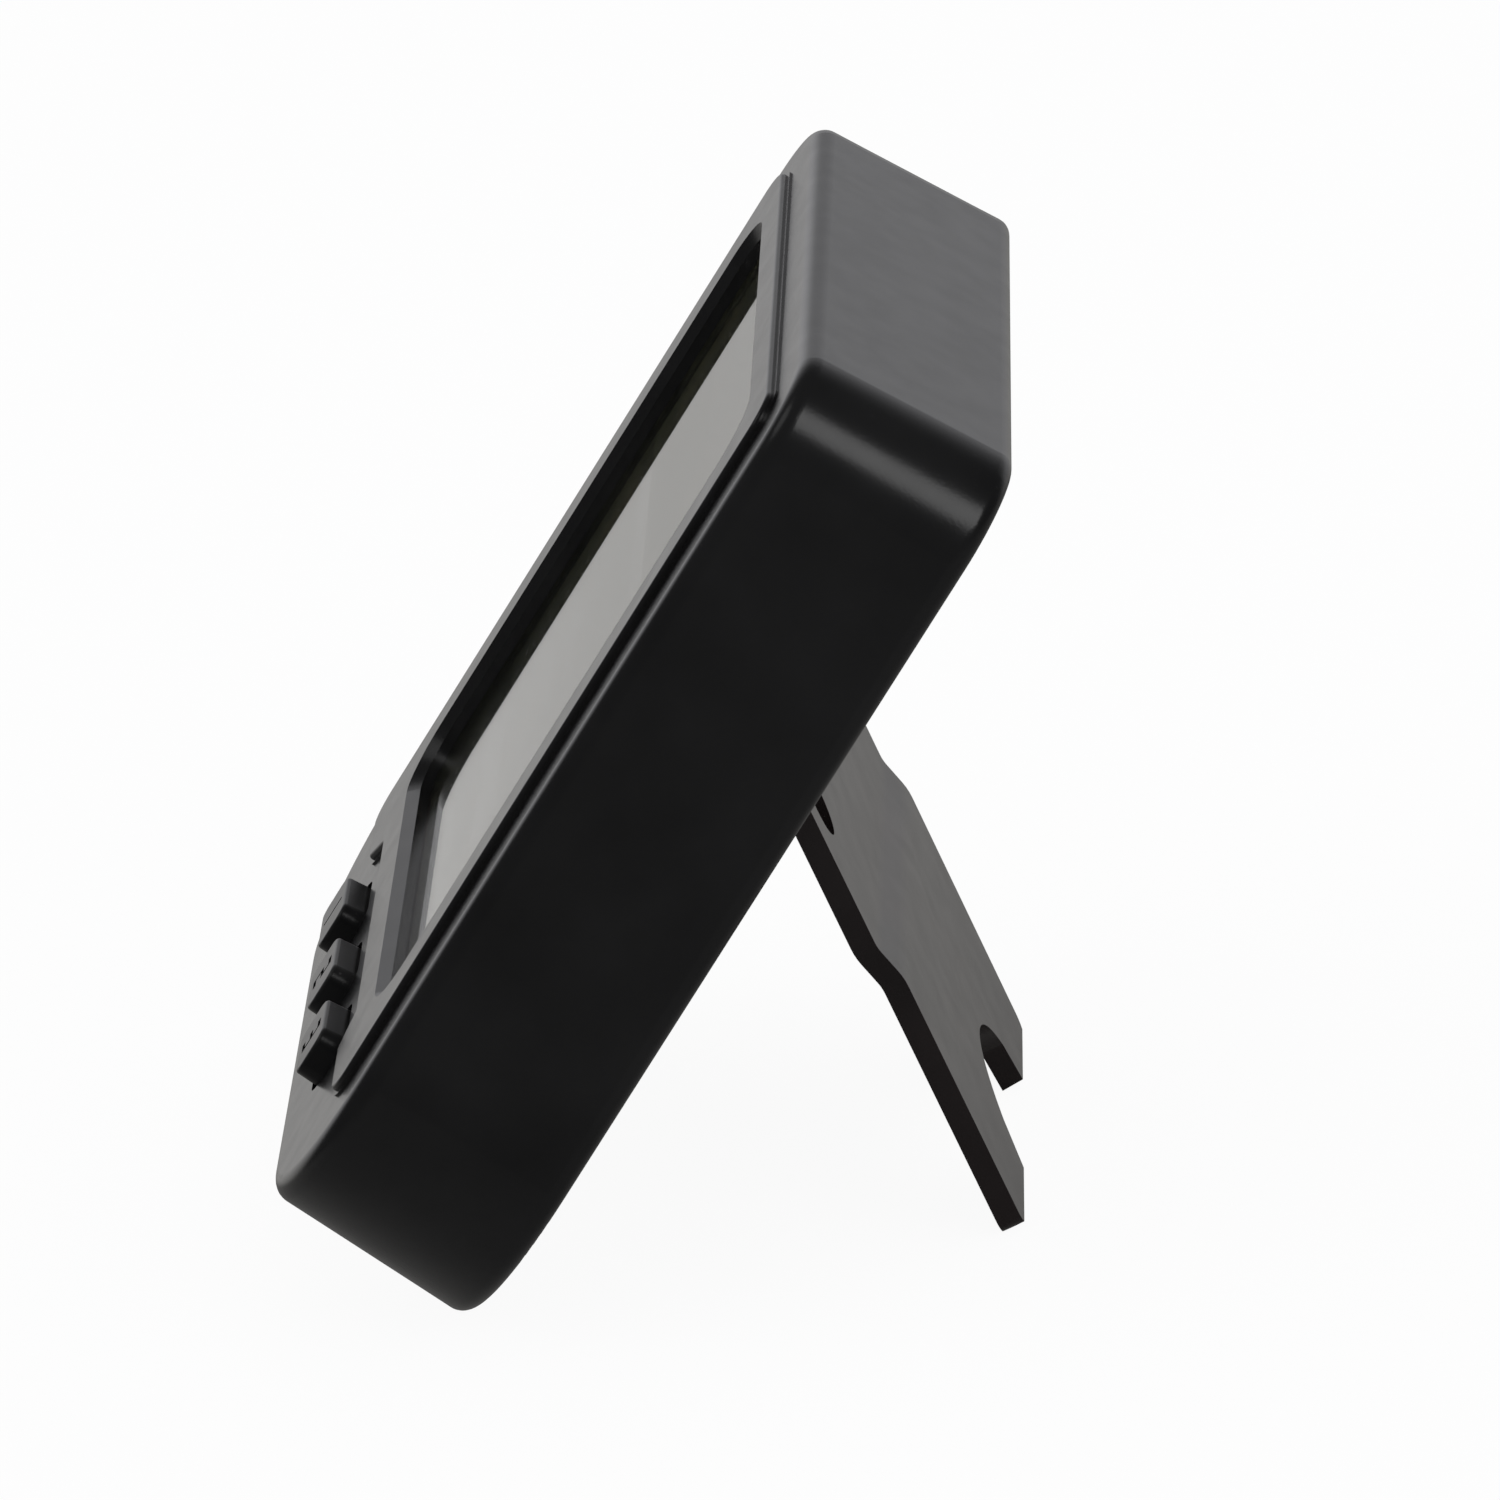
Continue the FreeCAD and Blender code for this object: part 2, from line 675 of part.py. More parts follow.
def battery_door():
    door = slab(-door_half, door_half, door_bottom, door_top, door_corner_radius, door_front, body_depth)
    tab_back = cover_seat - door_gap
    tab_front = tab_back - tab_thickness
    neck_low = door_bottom + tab_neck_inset
    for side in (-1, 1):
        low = side * tab_offset - tab_width / 2
        high = side * tab_offset + tab_width / 2
        door = door.fuse(box(low, high, tab_front, door_front, neck_low, neck_low + tab_neck))
        door = door.fuse(box(low, high, tab_front, tab_back, door_bottom - tab_reach, neck_low + tab_neck))
        slit = side * latch_slit_offset
        door = door.cut(box(slit - latch_slit_width / 2, slit + latch_slit_width / 2, door_front - cut_over,
                            body_depth + cut_over, door_top - latch_slit_length, door_top + cut_over))
    for i in range(grip_groove_count):
        z = door_top - grip_groove_pitch * (i + 1)
        half = grip_groove_width / 2
        door = door.cut(box(-half, half, body_depth - grip_groove_depth, body_depth + cut_over,
                            z - grip_groove_height / 2, z + grip_groove_height / 2))
    return door


def numeral(number, x):
    """Engraving for one key: bars of a plain digit, centred on the key's top."""
    bars = {1: "m", 2: "ABDEG", 3: "ABCDG"}.get(number, "ABCDEFG")
    half_w = numeral_width / 2
    half_h = numeral_height / 2
    stroke = numeral_stroke
    spans = {"A": (-half_w, half_w, half_h - stroke, half_h),
             "G": (-half_w, half_w, -stroke / 2, stroke / 2),
             "D": (-half_w, half_w, -half_h, -half_h + stroke),
             "B": (half_w - stroke, half_w, 0, half_h),
             "C": (half_w - stroke, half_w, -half_h, 0),
             "E": (-half_w, -half_w + stroke, -half_h, 0),
             "F": (-half_w, -half_w + stroke, 0, half_h),
             "m": (-stroke / 2, stroke / 2, -half_h, half_h)}
    cuts = []
    z = key_height_on_case
    for name in bars:
        x0, x1, z0, z1 = spans[name]
        cuts.append(box(x + x0, x + x1, -key_stand_out - cut_over, -key_stand_out + numeral_depth,
                        z + z0, z + z1))
    return cuts


def key(index):
    x = key_places()[index]
    z = key_height_on_case
    half = key_width / 2
    tall = key_length / 2
    base = rect_wire(x - half, x + half, z - tall, z + tall, key_corner_radius, flange_front)
    top_half = half - key_taper
    top_tall = tall - key_taper
    top = rect_wire(x - top_half, x + top_half, z - top_tall, z + top_tall, key_corner_radius - key_taper,
                    -key_stand_out)
    cap = Part.makeLoft([top, base], True, True)
    cap = cap.makeFillet(key_edge_radius, edges_at(cap, -key_stand_out))
    cap = cap.fuse(key_block(key_flange, x, flange_front, flange_back))
    for cut in numeral(index + 1, x):
        cap = cap.cut(cut)
    return cap


def contact_pill(index):
    x = key_places()[index]
    return rod_y(x, key_height_on_case, pill_radius, flange_back, pill_back)


def keypad_mat():
    grow = key_flange + key_gap
    half = key_places()[-1] + key_width / 2 + grow + mat_border
    tall = key_length / 2 + grow + mat_border
    z = key_height_on_case
    mat = slab(-half, half, z - tall, z + tall, mat_border, mat_front, board_front)
    for x in key_places():
        mat = mat.cut(key_block(grow, x, mat_front - cut_over, board_front + cut_over))
    return mat


# ================================================================ display stack
def display_lens():
    return lens_outline(0, lens_depth, lens_back)


def film(y):
    half = glass_width / 2 - film_inset
    return slab(-half, half, glass_bottom + glass_ledge + film_inset / 2, glass_top - film_inset,
                film_corner_radius, y, y + film_thickness)


def lcd_front_glass():
    half = glass_width / 2
    return box(-half, half, front_glass_y, rear_glass_y, glass_bottom, glass_top)


def lcd_rear_glass():
    half = glass_width / 2
    return box(-half, half, rear_glass_y, reflector_y, glass_bottom + glass_ledge, glass_top)


def lcd_frame():
    half = glass_width / 2 + display_gap
    low = glass_bottom - display_gap
    high = glass_top + display_gap
    wall = frame_wall
    ring = slab(-frame_half, frame_half, low - wall, high + wall, frame_corner_radius,
                front_wall, board_front)
    ring = ring.cut(box(-half, half, front_wall - cut_over, display_back, low, high))
    strip_low = glass_bottom + display_gap
    strip_high = strip_low + strip_width + 2 * display_gap
    inner = half - frame_ledge
    bar_top = strip_high + frame_ledge
    ring = ring.cut(box(-inner, inner, display_back, board_front + cut_over, bar_top, high - frame_ledge))
    ring = ring.cut(box(-inner, inner, display_back - cut_over, board_front + cut_over,
                        strip_low - display_gap, strip_high))
    for x, z in case_screw_places():
        ring = ring.cut(rod_y(x, z, screw_boss_radius + display_gap, 0, body_depth))
    return ring


def elastomer_strip():
    half = glass_width / 2 - frame_ledge - display_gap
    low = glass_bottom + 2 * display_gap
    return box(-half, half, rear_glass_y, board_front, low, low + strip_width)


# ================================================================ board and electronics
def main_board():
    board = body_block(side_wall + board_clearance, board_front, board_back)
    for x, z in case_screw_places():
        board = board.cut(rod_y(x, z, screw_boss_radius + board_boss_gap, 0, body_depth))
    for x, z in board_post_places():
        board = board.cut(rod_y(x, z, board_screw_radius + board_hole_gap, 0, body_depth))
    return board


def on_board(x, z, half_x, half_z, thickness):
    return box(x - half_x, x + half_x, board_back, board_back + thickness, z - half_z, z + half_z)


def microcontroller():
    x, z = chip_place
    half = chip_width / 2
    chip = box(x - half, x + half, board_back + chip_lift, board_back + chip_thickness, z - half, z + half)
    pitch = chip_width / chip_leg_count
    for i in range(chip_leg_count):
        along = (i - (chip_leg_count - 1) / 2) * pitch
        reach = half + chip_leg_length
        chip = chip.fuse(on_board(x, z + along, reach, chip_leg_width / 2, chip_leg_thickness))
        chip = chip.fuse(on_board(x + along, z, chip_leg_width / 2, reach, chip_leg_thickness))
    return chip


def crystal():
    x, z = crystal_place
    half = crystal_length / 2
    wide = crystal_width / 2
    top = board_back + crystal_thickness
    can = slab(x - half, x + half, z - wide, z + wide, crystal_corner_radius, board_back, top)
    return can.makeFillet(crystal_edge_radius, edges_at(can, top))


def chip_resistors():
    solids = []
    x0, z0 = resistor_place
    for row in range(resistor_rows):
        for column in range(resistor_columns):
            x = x0 + (column - (resistor_columns - 1) / 2) * resistor_spacing
            z = z0 + (row - (resistor_rows - 1) / 2) * resistor_spacing
            solids.append(on_board(x, z, resistor_length / 2, resistor_width / 2, resistor_thickness))
    return Part.makeCompound(solids)


def buzzer_case():
    x, z = -column_x, buzzer_z
    end = board_back + buzzer_thickness
    case = rod_y(x, z, buzzer_radius, board_back, end)
    room = buzzer_radius - buzzer_wall
    case = case.cut(rod_y(x, z, room, board_back + buzzer_wall + buzzer_disc_thickness, end - buzzer_wall))
    case = case.cut(rod_y(x, z, room - buzzer_seat_width, board_back + buzzer_wall, end - buzzer_wall))
    return case.cut(rod_y(x, z, buzzer_port_radius, end - 2 * buzzer_wall, end + cut_over))


def buzzer_disc():
    seat = board_back + buzzer_wall + buzzer_disc_thickness
    return rod_y(-column_x, buzzer_z, buzzer_radius - buzzer_wall - buzzer_disc_gap, seat,
                 seat + buzzer_disc_thickness)


def transformer_core():
    x, z = -column_x, transformer_z
    half = transformer_size / 2
    core = on_board(x, z, half, half, transformer_thickness)
    leg = transformer_leg
    room = (transformer_size - 3 * leg) / 2
    for side in (-1, 1):
        centre = x + side * (leg / 2 + room / 2)
        core = core.cut(box(centre - room / 2, centre + room / 2, board_back - cut_over,
                            board_back + transformer_thickness + cut_over,
                            z - half + transformer_yoke, z + half - transformer_yoke))
    return core


def transformer_winding():
    x, z = -column_x, transformer_z
    leg = transformer_leg
    room = (transformer_size - 3 * leg) / 2
    tall = transformer_size / 2 - transformer_yoke - winding_gap
    y0 = board_back
    y1 = board_back + transformer_thickness + room
    solids = []
    for side in (-1, 1):
        near = x + side * (leg / 2 + winding_gap)
        far = x + side * (leg / 2 + room - winding_gap)
        solids.append(box(min(near, far), max(near, far), y0, y1, z - tall, z + tall))
    reach = leg / 2 + room - winding_gap
    bridge_y = board_back + transformer_thickness + winding_gap
    bridge = box(x - reach, x + reach, bridge_y, y1, z - tall, z + tall)
    winding = solids[0].fuse(bridge).fuse(solids[1])
    return winding.removeSplitter()


def bulk_capacitor():
    x, z = -column_x, bulk_capacitor_z
    top = board_back + bulk_capacitor_length
    can = rod_y(x, z, bulk_capacitor_radius, board_back, top)
    can = can.makeFillet(bulk_capacitor_edge_radius, edges_at(can, top))
    groove = Part.makeTorus(bulk_capacitor_radius + bulk_capacitor_groove, 2 * bulk_capacitor_groove,
                            Vector(x, board_back + bulk_capacitor_groove_height, z), Vector(0, 1, 0))
    return can.cut(groove)


def film_capacitors():
    solids = []
    for side in (-1, 1):
        z = film_capacitor_z + side * film_capacitor_pitch / 2
        solids.append(on_board(-column_x, z, film_capacitor_width / 2, film_capacitor_thickness / 2,
                               film_capacitor_length))
    return Part.makeCompound(solids)


# ================================================================ counter tube
def tube_ends():
    half = tube_body_length / 2
    return [(side, tube_middle + side * half) for side in (-1, 1)]


def gm_tube_body():
    half = tube_body_length / 2
    low, high = tube_middle - half, tube_middle + half
    body = rod_z(column_x, tube_y, tube_radius, low, high)
    return body.cut(rod_z(column_x, tube_y, tube_radius - tube_wall, low - cut_over, high + cut_over))


def gm_tube_plugs():
    solids = []
    for side, z in tube_ends():
        inner = z - side * tube_plug_length
        plug = rod_z(column_x, tube_y, tube_radius - tube_wall, min(z, inner), max(z, inner))
        reach = tube_plug_length + cut_over
        solids.append(plug.cut(rod_z(column_x, tube_y, anode_radius, z - reach, z + reach)))
    return Part.makeCompound(solids)


def gm_tube_caps():
    solids = []
    for side, z in tube_ends():
        outer = z + side * tube_cap_length
        cap = rod_z(column_x, tube_y, tube_cap_radius, min(z, outer), max(z, outer))
        rounded = [e for e in cap.Edges if abs(e.BoundBox.ZMin - outer) < tiny
                   and abs(e.BoundBox.ZMax - outer) < tiny]
        solids.append(cap.makeFillet(tube_cap_edge_radius, rounded))
    return Part.makeCompound(solids)


def gm_tube_anode():
    half = tube_body_length / 2
    return rod_z(column_x, tube_y, anode_radius, tube_middle - half, tube_middle + half)


def tube_clips():
    solids = []
    for side, z in tube_ends():
        middle = z + side * tube_cap_length / 2
        z0, z1 = middle - clip_width / 2, middle + clip_width / 2
        grip = tube_cap_radius
        outer = grip + clip_thickness
        top = tube_y + clip_arm_rise
        clip = box(column_x - outer, column_x + outer, board_back, top, z0, z1)
        clip = clip.cut(box(column_x - grip, column_x + grip, board_back + clip_thickness,
                            top + cut_over, z0 - cut_over, z1 + cut_over))
        solids.append(clip)
    return Part.makeCompound(solids)


# ================================================================ batteries
def cell_height(index):
    return bay_middle + (index - 0.5) * cell_spacing


def cell_side(index):
    """+1 where the cell's button end points to +X, -1 where it points to -X."""
    return 1 if index == 0 else -1


def battery(index):
    side = cell_side(index)
    z = cell_height(index)
    plate = side * (bay_half - contact_thickness)
    shoulder = plate - side * cell_nipple_length
    tail = plate - side * cell_length
    can = rod_x(cell_y, z, cell_radius, min(shoulder, tail), max(shoulder, tail))
    can = can.makeFillet(cell_edge_radius, [e for e in can.Edges if e.BoundBox.XLength < tiny])
    nipple = rod_x(cell_y, z, cell_nipple_radius, min(shoulder, plate), max(shoulder, plate))
    return can.fuse(nipple)


def coil_spring():
    """A coil standing on the origin along +Z, its wire's centre line spring_wire clear of both ends.

    Each half turn is half a ring, tilted to climb half a pitch; the halves meet square to the wire.
    """
    rise = (spring_length - 2 * spring_wire) / (2 * spring_turns)
    end = Part.makeCircle(spring_wire, Vector(spring_radius, 0, 0), Vector(0, 1, 0))
    halves = []
    for i in range(2 * spring_turns):
        centre = Vector(0, 0, rise * (i + 0.5))
        axis = Vector((1 if i % 2 == 0 else -1) * rise / 2, 0, spring_radius)
        halves.append(Part.Face(Part.Wire(end)).revolve(centre, axis, 180))
        end = end.copy()
        end.rotate(centre, axis, 180)
    coil = halves[0]
    for half in halves[1:]:
        coil = coil.fuse(half)
    return coil.Solids[0]


def battery_springs():
    solids = []
    for index in (0, 1):
        side = -cell_side(index)
        plate = side * (bay_half - contact_thickness)
        coil = coil_spring()
        coil.rotate(Vector(0, 0, 0), Vector(0, 1, 0), -90 * side)
        coil.translate(Vector(plate - side * spring_wire, cell_y, cell_height(index)))
        solids.append(coil)
    return Part.makeCompound(solids)


def contact_plate(x0, x1, z):
    half = contact_width / 2
    return box(x0, x1, bay_floor_y, bay_floor_y + contact_height, z - half, z + half)


def battery_bridge():
    low = contact_plate(-bay_half, -bay_half + contact_thickness, cell_height(0))
    high = contact_plate(-bay_half, -bay_half + contact_thickness, cell_height(1))
    link = box(-bay_half, -bay_half + contact_thickness, bay_floor_y, bay_floor_y + bridge_height,
               cell_height(0), cell_height(1))
    return low.fuse(link).fuse(high).removeSplitter()


def battery_terminals():
    solids = []
    for index in (0, 1):
        z = cell_height(index)
        plate = contact_plate(bay_half - contact_thickness, bay_half, z)
        half = contact_tail_width / 2
        tail = box(bay_half - contact_thickness, bay_half, board_back, bay_floor_y + cut_over,
                   z - half, z + half)
        solids.append(plate.fuse(tail).removeSplitter())
    return Part.makeCompound(solids)


# ================================================================ fasteners
def case_screws():
    return Part.makeCompound([screw(x, z, screw_head_seat, screw_head_radius, screw_head_height,
                                    screw_shank_radius, screw_length) for x, z in case_screw_places()])


def board_screws():
    return Part.makeCompound([screw(x, z, board_back, board_screw_head_radius, board_screw_head_height,
                                    board_screw_radius, board_screw_length)
                              for x, z in board_post_places()])


# ================================================================ lean back on the open stand
def foot_corner():
    """The stand's lowest corner, front side of the foot, in the case's own frame."""
    down = stand_length + stand_foot_rake
    off = stand_face_offset - stand_thickness
    y = hinge_y + open_sin * down + open_cos * off
    z = hinge_height - open_cos * down + open_sin * off
    return y, z


def lean_angle():
    """Slope of the floor line that touches the round back edge and the foot."""
    slope = math.atan2(side_draft, body_depth)
    radius = back_edge_radius
    centre_y = body_depth - radius
    centre_z = radius / math.cos(slope) + side_draft * radius / body_depth
    foot_y, foot_z = foot_corner()
    distance = math.hypot(foot_y - centre_y, foot_z - centre_z)
    return math.atan2(foot_z - centre_z, foot_y - centre_y) + math.asin(radius / distance)


def build():
    pieces = {"front_housing": front_housing(), "rear_cover": rear_cover(), "battery_door": battery_door(),
              "stand_leg": stand_leg(), "keypad_mat": keypad_mat(), "display_lens": display_lens(),
              "lcd_front_film": film(lens_back), "lcd_front_glass": lcd_front_glass(),
              "lcd_rear_glass": lcd_rear_glass(), "lcd_reflector": film(reflector_y),
              "lcd_frame": lcd_frame(), "elastomer_strip": elastomer_strip(), "main_board": main_board(),
              "microcontroller": microcontroller(), "crystal": crystal(),
              "chip_resistors": chip_resistors(),
              "buzzer_case": buzzer_case(), "buzzer_disc": buzzer_disc(),
              "transformer_core": transformer_core(), "transformer_winding": transformer_winding(),
              "bulk_capacitor": bulk_capacitor(), "film_capacitors": film_capacitors(),
              "gm_tube_body": gm_tube_body(), "gm_tube_plugs": gm_tube_plugs(),
              "gm_tube_caps": gm_tube_caps(), "gm_tube_anode": gm_tube_anode(), "tube_clips": tube_clips(),
              "battery_springs": battery_springs(), "battery_bridge": battery_bridge(),
              "battery_terminals": battery_terminals(), "case_screws": case_screws(),
              "board_screws": board_screws()}
    for index in range(key_count):
        pieces["key_%d" % (index + 1)] = key(index)
        pieces["contact_pill_%d" % (index + 1)] = contact_pill(index)
    for index in (0, 1):
        pieces["battery_%d" % (index + 1)] = battery(index)
    return pieces


def main():
    os.makedirs("parts", exist_ok=True)
    pieces = build()
    lean = lean_angle()
    seat = FreeCAD.Placement(Vector(0, 0, 0), FreeCAD.Rotation(Vector(1, 0, 0), -math.degrees(lean)))
    leaned = {name: shape.copy() for name, shape in pieces.items()}
    for shape in leaned.values():
        shape.Placement = seat.multiply(shape.Placement)
    outer = Part.makeCompound([leaned[name] for name in ("front_housing", "stand_leg")])
    bounds = outer.optimalBoundingBox(False)
    shift = FreeCAD.Placement(Vector(0, -(bounds.YMin + bounds.YMax) / 2, -bounds.ZMin), FreeCAD.Rotation())
    whole = shift.multiply(seat)
    for name, shape in leaned.items():
        shape.Placement = shift.multiply(shape.Placement)
        shape.exportStep("parts/%s.step" % name)
        if not shape.isValid():
            print("INVALID", name)
    print("pieces", len(leaned))
    print("lean %.4f deg" % math.degrees(lean))
    print("size x %.3f y %.3f z %.3f" % (bounds.XLength, bounds.YLength, bounds.ZLength))
    for label, point in (("hinge axis", Vector(0, hinge_y, hinge_height)),
                         ("door axis", Vector(0, body_depth, door_bottom)),
                         ("case origin", Vector(0, 0, 0)),
                         ("foot", Vector(0, foot_corner()[0], foot_corner()[1]))):
        spot = whole.multVec(point)
        print("%s %.4f %.4f %.4f" % (label, spot.x, spot.y, spot.z))


main()
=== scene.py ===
import json
import math

import bmesh
import bpy
from mathutils import Matrix, Vector


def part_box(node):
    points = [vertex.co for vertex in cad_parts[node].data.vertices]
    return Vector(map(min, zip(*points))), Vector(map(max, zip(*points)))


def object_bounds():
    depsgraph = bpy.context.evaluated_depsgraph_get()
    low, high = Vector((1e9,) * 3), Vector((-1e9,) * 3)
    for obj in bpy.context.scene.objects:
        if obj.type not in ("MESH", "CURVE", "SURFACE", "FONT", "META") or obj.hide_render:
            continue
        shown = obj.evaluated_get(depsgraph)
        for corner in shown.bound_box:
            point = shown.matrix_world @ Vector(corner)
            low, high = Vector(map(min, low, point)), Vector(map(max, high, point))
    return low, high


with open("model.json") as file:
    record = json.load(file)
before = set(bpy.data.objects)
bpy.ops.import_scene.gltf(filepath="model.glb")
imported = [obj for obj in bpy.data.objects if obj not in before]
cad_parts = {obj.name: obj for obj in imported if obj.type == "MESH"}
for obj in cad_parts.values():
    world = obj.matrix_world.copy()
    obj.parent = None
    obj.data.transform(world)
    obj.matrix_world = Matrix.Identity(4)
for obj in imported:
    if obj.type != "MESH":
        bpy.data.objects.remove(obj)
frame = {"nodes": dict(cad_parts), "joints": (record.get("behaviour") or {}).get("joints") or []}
cad_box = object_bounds()

MM = 0.001
nodes = frame["nodes"]


# ------------------------------------------------------------------ the case's own directions
# The device leans back on its stand. The keys are pressed straight into the face, so their
# joint's axis gives the lean: ACROSS runs along the face, INWARD into it and UPWARD up along it.
ACROSS = Vector((1, 0, 0))
INWARD = Vector(next(j["axis"] for j in frame["joints"] if j["name"] == "key_1_press"))
INWARD.normalize()
UPWARD = ACROSS.cross(INWARD)
CASE_AXES = Matrix((ACROSS, INWARD, UPWARD)).transposed()


def case_box(node):
    """Lowest and highest corner of a CAD node along the case's own directions."""
    points = [CASE_AXES.transposed() @ v.co for v in nodes[node].data.vertices]
    return (
        Vector(min(p[i] for p in points) for i in range(3)),
        Vector(max(p[i] for p in points) for i in range(3)),
    )


# ------------------------------------------------------------------ camera
# Azimuth runs from the front of the device towards its right-hand side, elevation up from level.
CAMERA_AZIMUTH = math.radians(92.8834)
CAMERA_ELEVATION = math.radians(16.559)
CAMERA_ROLL = math.radians(-6.3342)
CAMERA_DISTANCE = 1.02536
CAMERA_TARGET = Vector((0, 0.008223, 0.036947))
CAMERA_LENS = 285.98


def add_camera():
    """A long lens aimed at the target; back points from the target to the camera."""
    back = Vector((
        math.sin(CAMERA_AZIMUTH) * math.cos(CAMERA_ELEVATION),
        -math.cos(CAMERA_AZIMUTH) * math.cos(CAMERA_ELEVATION),
        math.sin(CAMERA_ELEVATION),
    ))
    camera = bpy.data.objects.new("camera", bpy.data.cameras.new("camera"))
    camera.data.lens = CAMERA_LENS
    camera.data.clip_start, camera.data.clip_end = 0.05, 20
    turn = (-back).to_track_quat("-Z", "Y") @ Matrix.Rotation(CAMERA_ROLL, 3, "Z").to_quaternion()
    camera.rotation_mode = "QUATERNION"
    camera.rotation_quaternion = turn
    camera.location = CAMERA_TARGET + back * CAMERA_DISTANCE
    bpy.context.scene.collection.objects.link(camera)
    bpy.context.scene.camera = camera


# ------------------------------------------------------------------ node helpers
def new_tree(name):
    made = bpy.data.materials.new(name)
    made.use_nodes = True
    made.node_tree.nodes.clear()
    return made, made.node_tree


def node(tree, kind, inputs=None, **settings):
    """A new node with its settings, and its inputs given as numbers, colours or sockets."""
    made = tree.nodes.new(kind)
    for name, value in settings.items():
        setattr(made, name, value)
    for name, value in (inputs or {}).items():
        if isinstance(value, bpy.types.NodeSocket):
            tree.links.new(value, made.inputs[name])
        else:
            made.inputs[name].default_value = value
    return made


def place(tree):
    """Coordinates fixed to the piece, in metres."""
    return node(tree, "ShaderNodeTexCoord").outputs["Object"]


def noise(tree, size, detail=3.0, stretch=(1, 1, 1), offset=0.0):
    """A noise from 0 to 1 whose lumps are about size across, stretched along the axes."""
    moved = node(tree, "ShaderNodeMapping", {
        "Vector": place(tree), "Scale": stretch, "Location": (offset, offset, offset)})
    return node(tree, "ShaderNodeTexNoise", {
        "Vector": moved.outputs[0], "Scale": 1 / size, "Detail": detail}).outputs[0]


def spread(tree, value, low, high, start=0.3, end=0.7):
    """value, taken from start..end to low..high."""
    return node(tree, "ShaderNodeMapRange", {
        "Value": value, "From Min": start, "From Max": end, "To Min": low, "To Max": high,
    }).outputs[0]


def times(tree, a, b):
    return node(tree, "ShaderNodeMath", {0: a, 1: b}, operation="MULTIPLY").outputs[0]


def blend_colours(tree, factor, a, b):
    mixer = node(tree, "ShaderNodeMix", data_type="RGBA")
    for name, value in (("Factor", factor), ("A", a), ("B", b)):
        socket = next(s for s in mixer.inputs if s.name == name and s.enabled)
        if isinstance(value, bpy.types.NodeSocket):
            tree.links.new(value, socket)
        else:
            socket.default_value = value
    return next(s for s in mixer.outputs if s.enabled)


def bump(tree, height, depth, under=None):
    inputs = {"Height": height, "Distance": depth, "Strength": 1.0}
    if under is not None:
        inputs["Normal"] = under
    return node(tree, "ShaderNodeBump", inputs).outputs[0]


def finish_material(made, tree, **inputs):
    """Ends a material in one Principled shader with these inputs."""
    shader = node(tree, "ShaderNodeBsdfPrincipled", {k.replace("_", " "): v for k, v in inputs.items()})
    node(tree, "ShaderNodeOutputMaterial", {"Surface": shader.outputs[0]})
    return made


def grey(level, alpha=1.0):
    return (level, level, level, alpha)


def shade(colour, factor):
    return tuple(min(c * factor, 1) for c in colour[:3]) + (1.0,)


def faces_up(tree):
    """1 on what faces the sky, 0 on what faces down or sideways, for the dust that settles and the
    painted sheen on upward faces.
    """
    normal = node(tree, "ShaderNodeNewGeometry").outputs["Normal"]
    up = node(tree, "ShaderNodeSeparateXYZ", {0: normal}).outputs["Z"]
    return spread(tree, up, 0, 1, start=0.2, end=0.9)


def specks(tree, size, amount):
    """Sparse small spots, such as dust: 1 inside a spot."""
    return spread(tree, noise(tree, size, detail=1.0, offset=3.1), 0, 1,
                  start=0.74 - amount, end=0.78 - amount)


# ------------------------------------------------------------------ materials
RUBBED_SPECULAR = 0.17      # specular level where handling has dulled the plastic most
LINT = (0.07, 0.07, 0.07, 1)


def moulded(name, colour, roughness, specular=0.4, grain=0.28 * MM, depth=0.0022 * MM,
            mottle=0.25, dust=0.0, dust_and_sheen_colour=(0.16, 0.155, 0.15, 1), rubbed=None):
    """Moulded plastic or rubber: a fine eroded grain, uneven sheen, and settled dust whose pale film on
    upward faces is partly painted sheen.

    rubbed is the height below which handling has dulled the surface, most at its foot.
    """
    made, tree = new_tree(name)
    cloud = noise(tree, 14 * MM, detail=4)
    tone = blend_colours(tree, spread(tree, cloud, 0, 1),
                         shade(colour, 1 - mottle), shade(colour, 1 + mottle))
    if dust:
        lint = times(tree, specks(tree, 0.5 * MM, 0.03), times(tree, faces_up(tree), dust))
        # The pale film on upward faces is partly settled dust and partly painted sheen that lightens
        # and tints them.
        film = times(tree, spread(tree, cloud, 0.0, 0.12), times(tree, faces_up(tree), dust))
        tone = blend_colours(tree, film, tone, dust_and_sheen_colour)
        tone = blend_colours(tree, lint, tone, LINT)
    fine = noise(tree, grain, detail=2)
    sheen = spread(tree, noise(tree, 3.5 * MM, detail=5, offset=1.7),
                   roughness - 0.015, roughness + 0.02)
    if rubbed:
        height = node(tree, "ShaderNodeSeparateXYZ", {0: place(tree)}).outputs["Z"]
        specular = spread(tree, height, RUBBED_SPECULAR, specular, start=0, end=rubbed)
    return finish_material(made, tree, Base_Color=tone, Roughness=sheen,
                           Specular_IOR_Level=specular, Normal=bump(tree, fine, depth))


def metal(name, colour, roughness, stretch=(1, 1, 1), line=0.12 * MM, tarnish=0.2):
    """Metal with fine drawn or rolled lines along one direction and slight tarnish."""
    made, tree = new_tree(name)
    lines = noise(tree, line, detail=2, stretch=stretch)
    cloud = noise(tree, 4 * MM, detail=4, offset=2.3)
    tone = blend_colours(tree, spread(tree, cloud, 0, 1), shade(colour, 1 - tarnish), colour)
    return finish_material(made, tree, Base_Color=tone, Metallic=1.0,
                           Roughness=spread(tree, lines, roughness - 0.06, roughness + 0.08),
                           Normal=bump(tree, lines, 0.002 * MM))


